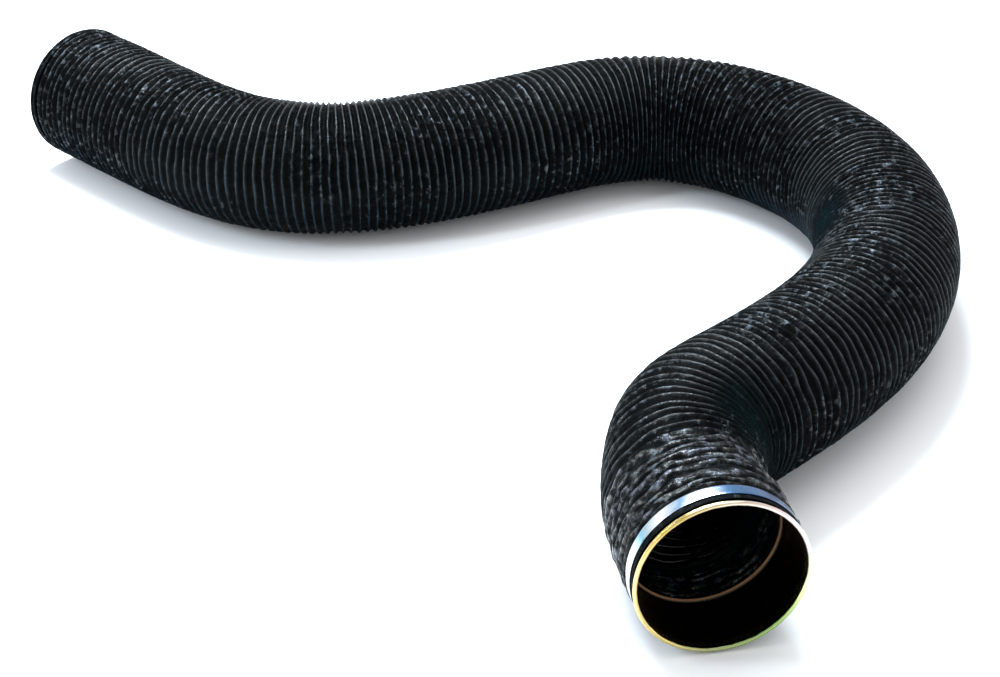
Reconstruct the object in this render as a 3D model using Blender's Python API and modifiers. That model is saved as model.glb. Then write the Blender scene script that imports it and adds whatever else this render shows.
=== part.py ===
"""Flexible air duct: a coated-fabric hose over a spring-wire helix, lying in an S on the floor.

One end is clamped to a steel collar with a rolled rim, and the other ends in a hem. The hose is
made in short sections, each with its own length of skin and wire. Each section's narrow neck sits
inside the socket of the section before it, so the duct bends, lifts and stretches at the necks.
Units are metres, +Z is up, and the origin is under the middle of the duct on the floor.
"""
import math

import bpy
import numpy as np
from mathutils import Vector

# Hose
DUCT_LENGTH = 2.006
DUCT_RADIUS = 0.0800
FAR_END_RADIUS = 0.0840
FAR_FLARE_LENGTH = 0.40
SKIN_WALL = 0.0012
SKIN_BEVEL_RESOLUTION = 8
GAP = 0.0003

# Route on the floor: where the far end lies, which way it sets off, and each bend along the way
FAR_END_POINT = (-0.4997, 0.4929)
FAR_END_HEADING = -44.3
BENDS = (
    # middle along the duct, length of the bend, turn in degrees
    (0.363, 0.328, 24.9),
    (0.398, 0.647, 48.5),
    (0.838, 0.322, -47.2),
    (1.024, 0.654, -56.2),
    (1.376, 0.835, -62.4),
    (1.814, 0.228, 57.6),
)
ROUTE_STEP = 0.001

# Sections and the joints between them
SECTION_COUNT = 14
ROOT_SECTION = 8
STRETCH_JOINTS = (1, 5, 12)
NECK_RADIUS = 0.0735
SOCKET_LAP = 0.004
NECK_LAP = 0.016
STRETCH_NECK_LAP = 0.042
SHOULDER_START = 0.030
SHOULDER_END = 0.034
LIP_LENGTH = 0.008

# Spring wire
WIRE_RADIUS = 0.0008
WIRE_INSET = 0.0052
WIRE_PITCH = 0.0214
WIRE_POINTS_PER_TURN = 10
WIRE_START_CLEARANCE = 0.043
WIRE_END_CLEARANCE = 0.034
WIRE_STRETCH_END_CLEARANCE = 0.060

# Far hem
HEM_LENGTH = 0.010
HEM_DEPTH = 0.0034
HEM_CHAMFER = 0.0007

# Collar, with distances measured back from its rim
COLLAR_RADIUS = 0.0750
COLLAR_LENGTH = 0.066
COLLAR_WALL = 0.0008
RIM_OUTER = 0.0782
RIM_THICKNESS = 0.0044
RIM_CHAMFER = 0.0008
RIDGE_MIDDLE = 0.0062
RIDGE_HALF_WIDTH = 0.0012
RIDGE_HALF_TOP = 0.0005
RIDGE_HEIGHT = 0.0010
INTURN_DEPTH = 0.0036
INTURN_LENGTH = 0.0034
TURN_STEPS = 36

# Cuff: the hose's end, gathered over the collar
CUFF_START = 0.0080
CUFF_END = 0.0757
BAND_MIDDLE = 0.020
BAND_SEAT_RADIUS = 0.0773
SEAT_MARGIN = 0.0005
CUFF_FOLDS = (
    # distance behind the band's seat, depth below the hose's radius
    (0.0035, 0.0016), (0.0080, 0.0028), (0.0135, 0.0008), (0.0195, 0.0022),
    (0.0255, 0.0004), (0.0320, 0.0018), (0.0380, 0.0),
)

# Worm-drive clamp
BAND_WIDTH = 0.012
BAND_THICKNESS = 0.0006
CLAMP_ANGLE = 45.0
TAIL_SWEEP = 62.0
TAIL_LEAD = 16.0
TAIL_STEPS = 14
TAIL_EDGE_GAP = 0.0003
HOUSING_SIZE = (0.0095, 0.0165, 0.0150)
HOUSING_SINK = 0.0005
HOUSING_CHAMFER = 0.0008
SEAT_CUT_RADIUS = 0.070
SEAT_CUT_HALF_WIDTH = 0.010
SEAT_CUT_STEPS = 180
BORE_CLEARANCE = 0.0004
BORE_LENGTH = 0.030
BORE_SIDES = 20
SCREW_RADIUS = 0.0036
SCREW_ROOT_RADIUS = 0.0030
SCREW_LIFT = 0.0006
SCREW_STEPS = 16
SCREW_THREADS = 5
SCREW_THREAD_PITCH = 0.0032
THREAD_HALF_FOOT = 0.0008
THREAD_HALF_TOP = 0.0002
SHANK_TOP_LAP = 0.0010
SHANK_FOOT_LAP = 0.0004
HEAD_RADIUS = 0.0046
HEAD_LENGTH = 0.0050
HEAD_GAP = 0.0006
HEAD_SLOT_SIZE = (0.0012, 0.012, 0.0036)


# ---------------------------------------------------------------- route

def ease(t):
    """Smooth step from 0 to 1 with no jump in slope or curvature."""
    t = np.clip(t, 0.0, 1.0)
    return t * t * t * (10.0 - 15.0 * t + 6.0 * t * t)


def heading(along):
    """Direction of travel on the floor, in radians, at a distance along the duct."""
    turned = math.radians(FAR_END_HEADING)
    for middle, length, turn in BENDS:
        turned = turned + math.radians(turn) * ease((along - middle + length / 2) / length)
    return turned


def trace_route():
    """Distances along the duct and the floor position at each."""
    count = round(DUCT_LENGTH / ROUTE_STEP)
    along = np.linspace(0.0, DUCT_LENGTH, count + 1)
    middles = (along[1:] + along[:-1]) / 2
    step = DUCT_LENGTH / count
    x = FAR_END_POINT[0] + np.concatenate([[0.0], np.cumsum(np.cos(heading(middles)) * step)])
    y = FAR_END_POINT[1] + np.concatenate([[0.0], np.cumsum(np.sin(heading(middles)) * step)])
    return along, x, y


ROUTE = trace_route()


def hose_radius(along):
    """Outer radius of the hose: a little wider towards its far end."""
    flare = 1.0 - float(ease(along / FAR_FLARE_LENGTH))
    return DUCT_RADIUS + (FAR_END_RADIUS - DUCT_RADIUS) * flare


def centre(along):
    """Centre of the hose, which rests on the floor all the way."""
    x = float(np.interp(along, ROUTE[0], ROUTE[1]))
    y = float(np.interp(along, ROUTE[0], ROUTE[2]))
    return Vector((x, y, hose_radius(along)))


def tangent(along):
    """Unit direction of travel."""
    angle = float(heading(along))
    return Vector((math.cos(angle), math.sin(angle), 0.0))


def side(along):
    """Unit direction to the left of travel."""
    angle = float(heading(along))
    return Vector((-math.sin(angle), math.cos(angle), 0.0))


HOSE_END = DUCT_LENGTH - CUFF_END
SECTION_LENGTH = HOSE_END / SECTION_COUNT


def joint_distance(joint):
    """Distance along the duct of the joint between section number joint and the next."""
    return joint * SECTION_LENGTH


# ---------------------------------------------------------------- scene helpers

def clear_scene():
    for obj in list(bpy.data.objects):
        bpy.data.objects.remove(obj, do_unlink=True)
    for collection in list(bpy.data.collections):
        bpy.data.collections.remove(collection)


def new_collection(name):
    collection = bpy.data.collections.new(name)
    bpy.context.scene.collection.children.link(collection)
    return collection


def new_material(name, colour, roughness, metallic):
    material = bpy.data.materials.new(name)
    material.use_nodes = True
    shader = material.node_tree.nodes["Principled BSDF"]
    shader.inputs["Base Color"].default_value = (*colour, 1.0)
    shader.inputs["Roughness"].default_value = roughness
    shader.inputs["Metallic"].default_value = metallic
    return material


def place(obj, parent, location, rotation=(0.0, 0.0, 0.0)):
    """Hang an object on its section's empty, at a world position."""
    obj.parent = parent
    obj.location = Vector(location) - world_location(parent)
    obj.rotation_euler = rotation


def world_location(empty):
    """World position of an unrotated empty in the chain."""
    total = Vector((0.0, 0.0, 0.0))
    while empty:
        total += empty.location
        empty = empty.parent
    return total


def mesh_object(name, collection, vertices, edges=(), faces=()):
    mesh = bpy.data.meshes.new(name)
    mesh.from_pydata(vertices, edges, faces)
    obj = bpy.data.objects.new(name, mesh)
    collection.objects.link(obj)
    return obj


def turned(name, collection, profile, steps=TURN_STEPS, closed=True):
    """Turn a profile of (radius, height) points about local Z."""
    vertices = [(radius, 0.0, height) for radius, height in profile]
    count = len(vertices)
    last = count if closed else count - 1
    edges = [(i, (i + 1) % count) for i in range(last)]
    obj = mesh_object(name, collection, vertices, edges)
    screw = obj.modifiers.new("Turn", "SCREW")
    screw.axis = "Z"
    screw.steps = steps
    screw.render_steps = steps
    screw.use_merge_vertices = True
    screw.merge_threshold = 0.00001
    screw.use_smooth_shade = True
    return obj


def poly_curve(name, collection, points, depth, resolution, filled, radii=None):
    """A round tube or wire through the given points."""
    data = bpy.data.curves.new(name, "CURVE")
    data.dimensions = "3D"
    data.twist_mode = "Z_UP"
    data.bevel_depth = depth
    data.bevel_resolution = resolution
    data.use_fill_caps = filled
    spline = data.splines.new("POLY")
    spline.points.add(len(points) - 1)
    for index, point in enumerate(points):
        spline.points[index].co = (*point, 1.0)
        spline.points[index].radius = radii[index] if radii else 1.0
    obj = bpy.data.objects.new(name, data)
    collection.objects.link(obj)
    return obj


def cut(target, cutter):
    boolean = target.modifiers.new("Cut", "BOOLEAN")
    boolean.operation = "DIFFERENCE"
    boolean.solver = "EXACT"
    boolean.object = cutter


def join(target, other):
    boolean = target.modifiers.new("Join", "BOOLEAN")
    boolean.operation = "UNION"
    boolean.solver = "EXACT"
    boolean.object = other


def hide_cutter(obj):
    obj.hide_render = True
    obj.display_type = "WIRE"


# ---------------------------------------------------------------- hose

def section_span(number):
    """Where a section's skin starts and ends along the duct."""
    start = joint_distance(number - 1)
    end = joint_distance(number)
    return start, end


def neck_lap(joint):
    return STRETCH_NECK_LAP if joint in STRETCH_JOINTS else NECK_LAP


def skin_stations(number):
    """(distance along the duct, outer radius) of each ring of a section's skin."""
    start, end = section_span(number)
    stations = []
    if number == 1:
        stations.append((HEM_LENGTH + GAP, hose_radius(HEM_LENGTH)))
        stations.append((SHOULDER_END, hose_radius(SHOULDER_END)))
    else:
        for along in (start - neck_lap(number - 1), start, start + SHOULDER_START):
            stations.append((along, NECK_RADIUS))
        stations.append((start + SHOULDER_END, hose_radius(start + SHOULDER_END)))
    last = end - GAP if number == SECTION_COUNT else end + SOCKET_LAP
    lip = last - LIP_LENGTH
    for along in ((stations[-1][0] + lip) / 2, lip, last):
        stations.append((along, hose_radius(along)))
    return stations


def make_skin(number, origin, collection, material):
    """One section of the coated-fabric skin, open at both ends."""
    stations = skin_stations(number)
    points = [centre(along) - origin for along, _ in stations]
    radii = [radius / DUCT_RADIUS for _, radius in stations]
    obj = poly_curve(f"skin_{number:02d}", collection, points, DUCT_RADIUS,
                     SKIN_BEVEL_RESOLUTION, False, radii)
    shell = obj.modifiers.new("Wall", "SOLIDIFY")
    shell.thickness = SKIN_WALL
    shell.offset = -1.0
    obj.data.materials.append(material)
    return obj


def make_wire(number, origin, collection, material):
    """The spring wire inside one section, coiled against the skin."""
    start, end = section_span(number)
    first = start + WIRE_START_CLEARANCE
    last = end - (WIRE_STRETCH_END_CLEARANCE if number in STRETCH_JOINTS else WIRE_END_CLEARANCE)
    count = round((last - first) / WIRE_PITCH * WIRE_POINTS_PER_TURN)
    points = []
    for index in range(count + 1):
        along = first + (last - first) * index / count
        angle = 2 * math.pi * index / WIRE_POINTS_PER_TURN
        reach = hose_radius(along) - WIRE_INSET
        offset = side(along) * math.cos(angle) + Vector((0.0, 0.0, 1.0)) * math.sin(angle)
        points.append(centre(along) + offset * reach - origin)
    obj = poly_curve(f"wire_{number:02d}", collection, points, WIRE_RADIUS, 0, True)
    obj.data.materials.append(material)
    return obj


def make_far_hem(origin_parent, collection, material):
    """The skin's edge, folded back over the last turn of wire."""
    outer = FAR_END_RADIUS
    inner = outer - HEM_DEPTH
    bevel = HEM_CHAMFER
    profile = [
        (inner + bevel, 0.0), (outer - bevel, 0.0), (outer, -bevel),
        (outer, bevel - HEM_LENGTH), (outer - bevel, -HEM_LENGTH),
        (inner + bevel, -HEM_LENGTH), (inner, bevel - HEM_LENGTH), (inner, -bevel),
    ]
    hem = turned("far_hem", collection, profile)
    # Local +Z points out of the mouth, against the direction of travel.
    turn = float(heading(0.0)) + math.pi
    place(hem, origin_parent, centre(0.0), (0.0, math.pi / 2, turn))
    hem.data.materials.append(material)
    return hem


# ---------------------------------------------------------------- collar and clamp

def collar_rotation():
    """Local +Z runs out of the collar, and local +X points down."""
    return (0.0, math.pi / 2, float(heading(DUCT_LENGTH)))


def make_collar(collection, material):
    """Steel collar: rolled rim, stop ridge and an inturned back edge."""
    outer = COLLAR_RADIUS
    inner = COLLAR_RADIUS - COLLAR_WALL
    back = -COLLAR_LENGTH
    crown = outer + RIDGE_HEIGHT
    profile = [
        (outer, 0.0), (RIM_OUTER - RIM_CHAMFER, 0.0), (RIM_OUTER, -RIM_CHAMFER),
        (RIM_OUTER, RIM_CHAMFER - RIM_THICKNESS), (RIM_OUTER - RIM_CHAMFER, -RIM_THICKNESS),
        (outer, -RIM_THICKNESS), (outer, RIDGE_HALF_WIDTH - RIDGE_MIDDLE),
        (crown, RIDGE_HALF_TOP - RIDGE_MIDDLE), (crown, -RIDGE_HALF_TOP - RIDGE_MIDDLE),
        (outer, -RIDGE_HALF_WIDTH - RIDGE_MIDDLE),
        (outer, back + INTURN_LENGTH),
        (outer - INTURN_DEPTH / 2, back + INTURN_LENGTH / 2), (outer - INTURN_DEPTH, back),
        (inner - INTURN_DEPTH, back + COLLAR_WALL / 2),
        (inner - INTURN_DEPTH / 2, back + INTURN_LENGTH / 2 + COLLAR_WALL / 2),
        (inner, back + INTURN_LENGTH + COLLAR_WALL / 2), (inner, -COLLAR_WALL),
    ]
    collar = turned("collar", collection, profile)
    collar.data.materials.append(material)
    return collar


def make_cuff(collection, material):
    """The hose's end, gathered in folds over the collar and pinched by the band."""
    inner = COLLAR_RADIUS + GAP
    seat_back = -(BAND_MIDDLE + BAND_WIDTH / 2 + SEAT_MARGIN)
    profile = [
        (inner, -CUFF_START), (BAND_SEAT_RADIUS, -CUFF_START), (BAND_SEAT_RADIUS, seat_back),
    ]
    profile += [(DUCT_RADIUS - depth, seat_back - behind) for behind, depth in CUFF_FOLDS]
    profile += [(DUCT_RADIUS, -CUFF_END), (inner, -CUFF_END)]
    cuff = turned("near_cuff", collection, profile)
    cuff.data.materials.append(material)
    return cuff


def arc_strip(name, collection, radius, thickness, width, middle, start, sweep, steps):
    """A flat strip bent about local Z, from one angle through a sweep in degrees."""
    vertices = []
    for index in range(steps + 1):
        angle = math.radians(start + sweep * index / steps)
        for reach, height in ((radius, -width / 2), (radius, width / 2),
                              (radius + thickness, width / 2), (radius + thickness, -width / 2)):
            vertices.append((reach * math.cos(angle), reach * math.sin(angle), height - middle))
    faces = [(3, 2, 1, 0)]
    for index in range(steps):
        base = index * 4
        for corner in range(4):
            following = (corner + 1) % 4
            faces.append((base + corner, base + following, base + 4 + following, base + 4 + corner))
    top = steps * 4
    faces.append((top, top + 1, top + 2, top + 3))
    return mesh_object(name, collection, vertices, (), faces)


def make_band(collection, material):
    """The clamp's band, a full loop round the cuff."""
    inner = BAND_SEAT_RADIUS + GAP
    outer = inner + BAND_THICKNESS
    front = BAND_WIDTH / 2 - BAND_MIDDLE
    back = -BAND_WIDTH / 2 - BAND_MIDDLE
    band = turned("clamp_band", collection,
                  [(inner, front), (outer, front), (outer, back), (inner, back)])
    band.data.materials.append(material)
    return band


TAIL_INNER = BAND_SEAT_RADIUS + BAND_THICKNESS + 3 * GAP
TAIL_OUTER = TAIL_INNER + BAND_THICKNESS
SCREW_CENTRE = TAIL_OUTER + GAP + SCREW_LIFT + SCREW_RADIUS


def make_tail(collection, material):
    """The band's free end, which laps over the loop and runs under the worm."""
    tail = arc_strip("band_tail", collection, TAIL_INNER, BAND_THICKNESS,
                     BAND_WIDTH - 2 * TAIL_EDGE_GAP, BAND_MIDDLE,
                     CLAMP_ANGLE - TAIL_LEAD, TAIL_SWEEP, TAIL_STEPS)
    tail.data.materials.append(material)
    return tail


def clamp_frame(obj, collar_origin, parent):
    """Set a piece on the clamp: local +X points away from the collar's axis."""
    obj.parent = parent
    obj.location = collar_origin - world_location(parent)
    obj.rotation_euler = collar_rotation()


def transform_mesh(obj, function):
    for vertex in obj.data.vertices:
        vertex.co = function(vertex.co)


def primitive_cylinder(name, collection, radius, depth, sides):
    bpy.ops.mesh.primitive_cylinder_add(vertices=sides, radius=radius, depth=depth)
    return adopt(name, collection)


def primitive_box(name, collection, size):
    bpy.ops.mesh.primitive_cube_add(size=1.0)
    obj = adopt(name, collection)
    transform_mesh(obj, lambda co: Vector((co.x * size[0], co.y * size[1], co.z * size[2])))
    return obj


def adopt(name, collection):
    """Name the object just added and move it to its collection."""
    obj = bpy.context.object
    obj.name = name
    obj.data.name = name
    for owner in list(obj.users_collection):
        owner.objects.unlink(obj)
    collection.objects.link(obj)
    return obj


def along_tangent(co):
    """Lay a piece made along Z down along the band, on the worm's axis."""
    return Vector((SCREW_CENTRE + co.x, co.z, -BAND_MIDDLE - co.y))


def swing(angle):
    cosine = math.cos(math.radians(angle))
    sine = math.sin(math.radians(angle))
    return lambda co: Vector((co.x * cosine - co.y * sine, co.x * sine + co.y * cosine, co.z))


def make_housing(collection, cutters, material):
    """The worm's housing: a bevelled block, bored for the worm and slotted for the band."""
    height, length, width = HOUSING_SIZE
    housing = primitive_box("worm_housing", collection, (height, length, width))
    base = BAND_SEAT_RADIUS + GAP
    lift = base + height / 2 - HOUSING_SINK
    transform_mesh(housing, lambda co: swing(CLAMP_ANGLE)(co + Vector((lift, 0.0, -BAND_MIDDLE))))
    bevel = housing.modifiers.new("Edges", "BEVEL")
    bevel.width = HOUSING_CHAMFER
    bevel.segments = 1
    bore = primitive_cylinder("housing_bore", cutters, SCREW_RADIUS + BORE_CLEARANCE,
                              BORE_LENGTH, BORE_SIDES)
    transform_mesh(bore, lambda co: swing(CLAMP_ANGLE)(along_tangent(co)))
    front = SEAT_CUT_HALF_WIDTH - BAND_MIDDLE
    back = -SEAT_CUT_HALF_WIDTH - BAND_MIDDLE
    slot_front = BAND_WIDTH / 2 + GAP - BAND_MIDDLE
    slot_back = -BAND_WIDTH / 2 - GAP - BAND_MIDDLE
    slot_top = TAIL_OUTER + GAP
    seat = turned("housing_seat", cutters, [
        (SEAT_CUT_RADIUS, front), (base, front), (base, slot_front), (slot_top, slot_front),
        (slot_top, slot_back), (base, slot_back), (base, back), (SEAT_CUT_RADIUS, back),
    ], SEAT_CUT_STEPS)
    for cutter in (bore, seat):
        hide_cutter(cutter)
        cut(housing, cutter)
    housing.data.materials.append(material)
    return housing, (bore, seat)


def make_screw(collection, cutters, material):
    """The worm: a ridged shank with a slotted hexagon head."""
    shank_half = HOUSING_SIZE[1] / 2
    top = shank_half + SHANK_TOP_LAP
    foot = -shank_half - SHANK_FOOT_LAP
    profile = [(0.0, top), (SCREW_ROOT_RADIUS, top)]
    for ridge in range(SCREW_THREADS):
        middle = (SCREW_THREADS / 2 - ridge - 0.5) * SCREW_THREAD_PITCH
        profile.append((SCREW_ROOT_RADIUS, middle + THREAD_HALF_FOOT))
        profile.append((SCREW_RADIUS, middle + THREAD_HALF_TOP))
        profile.append((SCREW_RADIUS, middle - THREAD_HALF_TOP))
        profile.append((SCREW_ROOT_RADIUS, middle - THREAD_HALF_FOOT))
    profile += [(SCREW_ROOT_RADIUS, foot), (0.0, foot)]
    screw = turned("worm_screw", collection, profile, SCREW_STEPS, closed=False)
    head = primitive_cylinder("screw_head", cutters, HEAD_RADIUS, HEAD_LENGTH, 6)
    slot = primitive_box("screw_slot", cutters, HEAD_SLOT_SIZE)
    head_middle = shank_half + HEAD_GAP + HEAD_LENGTH / 2
    transform_mesh(head, lambda co: co + Vector((0.0, 0.0, head_middle)))
    transform_mesh(slot, lambda co: co + Vector((0.0, 0.0, head_middle + HEAD_LENGTH / 2)))
    hide_cutter(head)
    hide_cutter(slot)
    join(screw, head)
    cut(screw, slot)
    screw.data.materials.append(material)
    return screw, (head, slot)


# ---------------------------------------------------------------- assembly

def section_origin(number):
    """Joint point that a section turns about: the one nearer the root section."""
    if number == ROOT_SECTION:
        return centre(joint_distance(number - 0.5))
    return centre(joint_distance(number if number < ROOT_SECTION else number - 1))


def make_empties(collection):
    """One empty for each section, on its joint, parented outward from the root section."""
    empties = {}
    outward = [ROOT_SECTION]
    outward += range(ROOT_SECTION - 1, 0, -1)
    outward += range(ROOT_SECTION + 1, SECTION_COUNT + 1)
    for number in outward:
        empty = bpy.data.objects.new(f"section_{number:02d}", None)
        empty.empty_display_size = 0.03
        collection.objects.link(empty)
        parent = None
        if number < ROOT_SECTION:
            parent = empties[number + 1]
        elif number > ROOT_SECTION:
            parent = empties[number - 1]
        place(empty, parent, section_origin(number))
        empties[number] = empty
    return empties


def build():
    clear_scene()
    duct = new_collection("flexible_air_duct")
    cutters = new_collection("cutters")
    fabric = new_material("coated_fabric", (0.012, 0.014, 0.017), 0.42, 0.0)
    spring_wire = new_material("spring_wire", (0.030, 0.032, 0.035), 0.35, 1.0)
    passivated_zinc = new_material("passivated_zinc", (0.72, 0.60, 0.28), 0.28, 1.0)
    bright_steel = new_material("bright_steel", (0.70, 0.76, 0.82), 0.25, 1.0)
    empties = make_empties(duct)

    for number in range(1, SECTION_COUNT + 1):
        origin = section_origin(number)
        place(make_skin(number, origin, duct, fabric), empties[number], origin)
        place(make_wire(number, origin, duct, spring_wire), empties[number], origin)
    make_far_hem(empties[1], duct, fabric)

    near_end = empties[SECTION_COUNT]
    rim = centre(DUCT_LENGTH)
    for piece in (make_collar(duct, passivated_zinc), make_cuff(duct, fabric),
                  make_band(duct, bright_steel), make_tail(duct, bright_steel)):
        clamp_frame(piece, rim, near_end)
    housing, housing_cutters = make_housing(duct, cutters, bright_steel)
    for piece in (housing, *housing_cutters):
        clamp_frame(piece, rim, near_end)

    screw, screw_cutters = make_screw(duct, cutters, bright_steel)
    clamp_centre = bpy.data.objects.new("clamp_centre", None)
    clamp_centre.empty_display_size = 0.01
    duct.objects.link(clamp_centre)
    clamp_frame(clamp_centre, rim, near_end)
    for piece in (screw, *screw_cutters):
        piece.parent = clamp_centre
        piece.location = swing(CLAMP_ANGLE)(along_tangent(Vector((0.0, 0.0, 0.0))))
        piece.rotation_euler = (-math.pi / 2, 0.0, math.radians(CLAMP_ANGLE))


build()
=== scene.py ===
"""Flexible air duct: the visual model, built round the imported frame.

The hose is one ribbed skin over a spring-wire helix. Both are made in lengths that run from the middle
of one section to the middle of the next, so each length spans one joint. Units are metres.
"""
import math

import bpy
import numpy as np
from mathutils import Matrix, Vector


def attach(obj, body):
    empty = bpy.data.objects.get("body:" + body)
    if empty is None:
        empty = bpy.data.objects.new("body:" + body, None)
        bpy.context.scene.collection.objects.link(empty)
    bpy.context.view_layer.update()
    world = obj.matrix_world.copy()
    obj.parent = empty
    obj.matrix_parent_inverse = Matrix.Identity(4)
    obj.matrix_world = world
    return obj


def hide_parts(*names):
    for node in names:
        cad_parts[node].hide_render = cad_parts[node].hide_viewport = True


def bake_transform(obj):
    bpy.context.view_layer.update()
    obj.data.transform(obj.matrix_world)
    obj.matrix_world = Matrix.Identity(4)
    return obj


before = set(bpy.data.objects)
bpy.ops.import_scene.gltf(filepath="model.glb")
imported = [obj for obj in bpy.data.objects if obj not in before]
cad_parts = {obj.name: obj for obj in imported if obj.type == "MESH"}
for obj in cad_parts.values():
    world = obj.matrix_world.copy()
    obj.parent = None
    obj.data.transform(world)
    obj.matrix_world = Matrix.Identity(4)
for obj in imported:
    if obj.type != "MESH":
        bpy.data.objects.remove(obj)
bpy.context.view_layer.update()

# Hose
DUCT_LENGTH = 2.006
DUCT_RADIUS = 0.0800
FAR_END_RADIUS = 0.0840
FAR_FLARE_LENGTH = 0.40
SECTION_COUNT = 14

# Route on the floor
FAR_END_POINT = (-0.4997, 0.4929)
FAR_END_HEADING = -44.3
BENDS = (
    # middle along the duct, length of the bend, turn in degrees
    (0.363, 0.328, 24.9),
    (0.398, 0.647, 48.5),
    (0.838, 0.322, -47.2),
    (1.024, 0.654, -56.2),
    (1.376, 0.835, -62.4),
    (1.814, 0.228, 57.6),
)
ROUTE_STEP = 0.001

# How far apart the turns of wire lie: the hose is drawn out in some places and slack in others
PITCHES = (
    # distance along the duct, spacing of the turns there
    (0.00, 0.0104), (0.12, 0.0108), (0.22, 0.0106), (0.29, 0.0096), (0.36, 0.0086), (0.42, 0.0081),
    (0.50, 0.0089), (0.57, 0.0099), (0.64, 0.0113), (0.68, 0.0116), (0.74, 0.0106), (0.85, 0.0100),
    (0.93, 0.0102), (1.04, 0.0108), (1.13, 0.0120), (1.22, 0.0109), (1.35, 0.0106), (1.47, 0.0108),
    (1.57, 0.0103), (1.68, 0.0105), (1.78, 0.0114), (1.90, 0.0110), (2.01, 0.0110),
)
SLACKNESS = (
    # distance along the duct, how loosely the wire lies there, from 0 to 1
    (0.0, 1.0), (0.24, 1.0), (0.34, 0.2), (1.0, 0.2), (1.25, 1.0), (1.9, 1.0), (2.0, 0.6),
)
PITCH = 0.0106  # the usual spacing

# Ribbed skin
ROWS_PER_TURN = 14
COLUMNS = 192
SKIN_WALL = 0.0007
FOLD_DEPTH = 0.0037
LEAST_FOLD_DEPTH = 0.0030
MOST_FOLD_DEPTH = 0.0043
CREST_ROUNDING = 0.06
CREST_SAG = 0.0005
PLEAT_HEIGHT = 0.0010
FINE_PLEAT_HEIGHT = 0.0005
THREADS_PER_METRE = 1250.0
DENTS = (
    # where along the duct, how far it reaches, how deep, which side it faces in degrees
    (1.908, 0.026, 0.0075, 0.0), (1.838, 0.048, 0.0090, 180.0),
)
CLOSED_FOLDS = (
    # where along the duct, how far it reaches, which side it faces in degrees
    (1.335, 0.050, 190.0), (1.825, 0.060, 10.0),
)

# Spring wire
COIL_START = 0.014
COIL_DEPTH = 0.0020
COIL_RADIUS = 0.00065
COIL_SIDES = 6
COIL_POINTS_PER_TURN = 48

# Collar, as in the frame
COLLAR_RADIUS = 0.0750
COLLAR_LENGTH = 0.066
COLLAR_WALL = 0.0008
COLLAR_STEPS = 288
RIM_OUTER = 0.0782
RIM_THICKNESS = 0.0044
RIM_KNOCK = 0.00014
RIDGE_MIDDLE = 0.0062
RIDGE_HEIGHT = 0.0009
RIDGE_FOOT = 0.0013
INTURN_DEPTH = 0.0036
INTURN_INNER_BEND = 0.0032
INTURN_START = 0.007

# Gathered cuff
CUFF_START = 0.0080
CUFF_END = 0.0757
CUFF_REACH = 0.122
CUFF_RUN_IN = 0.016
CUFF_RADIUS = 0.0779
CUFF_FOLD_SPACING = 0.0112
CUFF_FOLD_HEIGHT = 0.0013
CUFF_FOLD_POWER = 1.3
CUFF_CREASE_HEIGHT = 0.0009
CREASE_LEAN = 16.0  # radians round the duct for each metre along it
PLEAT_LEAN = 22.0
CUFF_COVER = 0.0012  # the least that it stands above the collar's sheet
CUFF_SWELL = 0.006  # how far past the band it takes to fill out again
FRAYED_LENGTH = 0.0135 - CUFF_START

# Clamp, as in the frame
BAND_MIDDLE = 0.020
BAND_WIDTH = 0.012
BAND_SEAT_RADIUS = 0.0773
BAND_THICKNESS = 0.0006
CLAMP_ANGLE = 45.0
GAP = 0.0003
WORM_PITCH = 0.0032
TAIL_INNER = BAND_SEAT_RADIUS + BAND_THICKNESS + 3 * GAP
TAIL_OUTER = TAIL_INNER + BAND_THICKNESS
TAIL_LEAD = 16.0
TAIL_SWEEP = 62.0
TAIL_TIP = 0.004
TAIL_LINES = (-1.0, -0.78, -0.56, -0.2, 0.2, 0.56, 0.78, 1.0)  # across the tail, in half widths
SLOT_LINES = (0.0, 0.25, 0.29, 0.67, 0.71)  # along the tail, in shares of one pitch
SLOT_CELL = 2  # the cell of one pitch that is punched out
SLOT_CELLS_ACROSS = slice(2, 5)
SLOT_SLANT = 0.30
SCREW_RADIUS = 0.0036
SCREW_ROOT_RADIUS = 0.0026
SCREW_NECK_RADIUS = 0.0030
SCREW_LIFT = GAP + 0.0006
SCREW_CENTRE = TAIL_OUTER + SCREW_LIFT + SCREW_RADIUS
SCREW_STEPS = 48
HEAD_HALF_FLATS = 0.0040
HEAD_ROUNDING = 0.0048
HEAD_HEIGHT = 0.0050
DRIVE_SLOT_WIDTH = 0.0014
DRIVE_SLOT_DEPTH = 0.0012
HOUSING_LENGTH = 0.0165
HOUSING_WIDTH = 0.0150
HOUSING_WALL = 0.0008
ARCH_RADIUS = SCREW_RADIUS + 0.0004
HOUSING_LINES = (
    # place along the housing in half lengths, how far its arch swells there
    (-1.0, -0.00015), (-0.97, 0.0001), (-0.86, 0.0003), (-0.80, 0.0), (-0.60, 0.0), (-0.2, 0.0),
    (0.2, 0.0), (0.60, 0.0), (0.80, 0.0), (0.86, 0.0003), (0.97, 0.0001), (1.0, -0.00015),
)

# Hem at the far end
HEM_LENGTH = 0.010
HEM_LAP = 0.0035
HEM_RUN_IN = 0.004
HEM_INSET = 0.0022
HEM_STEPS = 384
HEM_OUTER = FAR_END_RADIUS - 0.0002
HEM_INNER = FAR_END_RADIUS - 0.0034
HEM_FOLD = (
    # distance from the edge, depth below the hem's outer face: over the stitches, round the raw edge and back
    (0.0036, 0.0006), (0.0050, 0.0013), (0.0060, 0.0007), (0.0072, 0.0002), (0.0086, 0.0006),
    (0.0098, 0.0010), (0.0100, 0.0013), (0.0098, 0.0016), (0.0080, 0.0015), (0.0060, 0.0019),
)
STITCH_COUNT = 96
STITCH_PLACE = 0.0050
STITCH_REACH = 0.0008
STITCH_HEIGHT = 0.00022

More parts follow.
